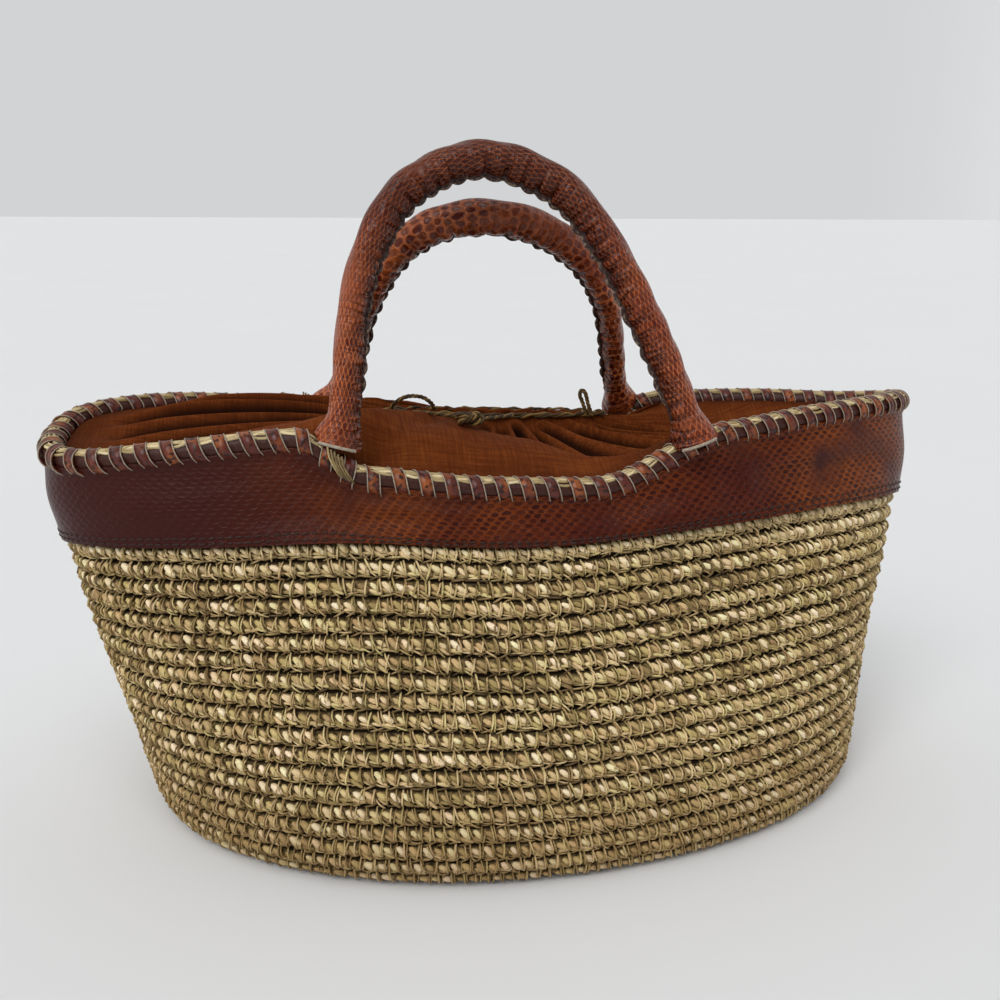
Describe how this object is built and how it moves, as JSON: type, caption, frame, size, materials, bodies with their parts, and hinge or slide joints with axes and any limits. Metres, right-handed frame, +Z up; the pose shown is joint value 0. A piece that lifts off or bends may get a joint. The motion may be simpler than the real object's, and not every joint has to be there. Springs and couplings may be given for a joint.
{
  "type": "raffia tote bag",
  "caption": "Oval crocheted raffia tote with a standing leather band, rolled scooped rim, two padded leather handles and a gathered drawstring cloth cover.",
  "frame": {"origin": "on the floor under the middle of the bag's box", "axes": "+X along the bag to its right end as seen from the front, -Y towards the front, +Z up"},
  "size_m": [0.4366, 0.2396, 0.318],
  "materials": {
    "raffia": "matte crocheted raffia",
    "band_leather": "glossy embossed",
    "handle_leather": "semi-gloss embossed",
    "cover_cloth": "matte plain weave",
    "drawcord": "matte twisted raffia"
  },
  "bodies": {
    "root": {"basket": "raffia", "leather_band": "band_leather", "rim_roll": "band_leather", "handle_front": "handle_leather", "handle_back": "handle_leather", "cover_cloth": "cover_cloth", "drawstring": "drawcord", "drawstring_knot": "drawcord"}
  },
  "joints": []
}
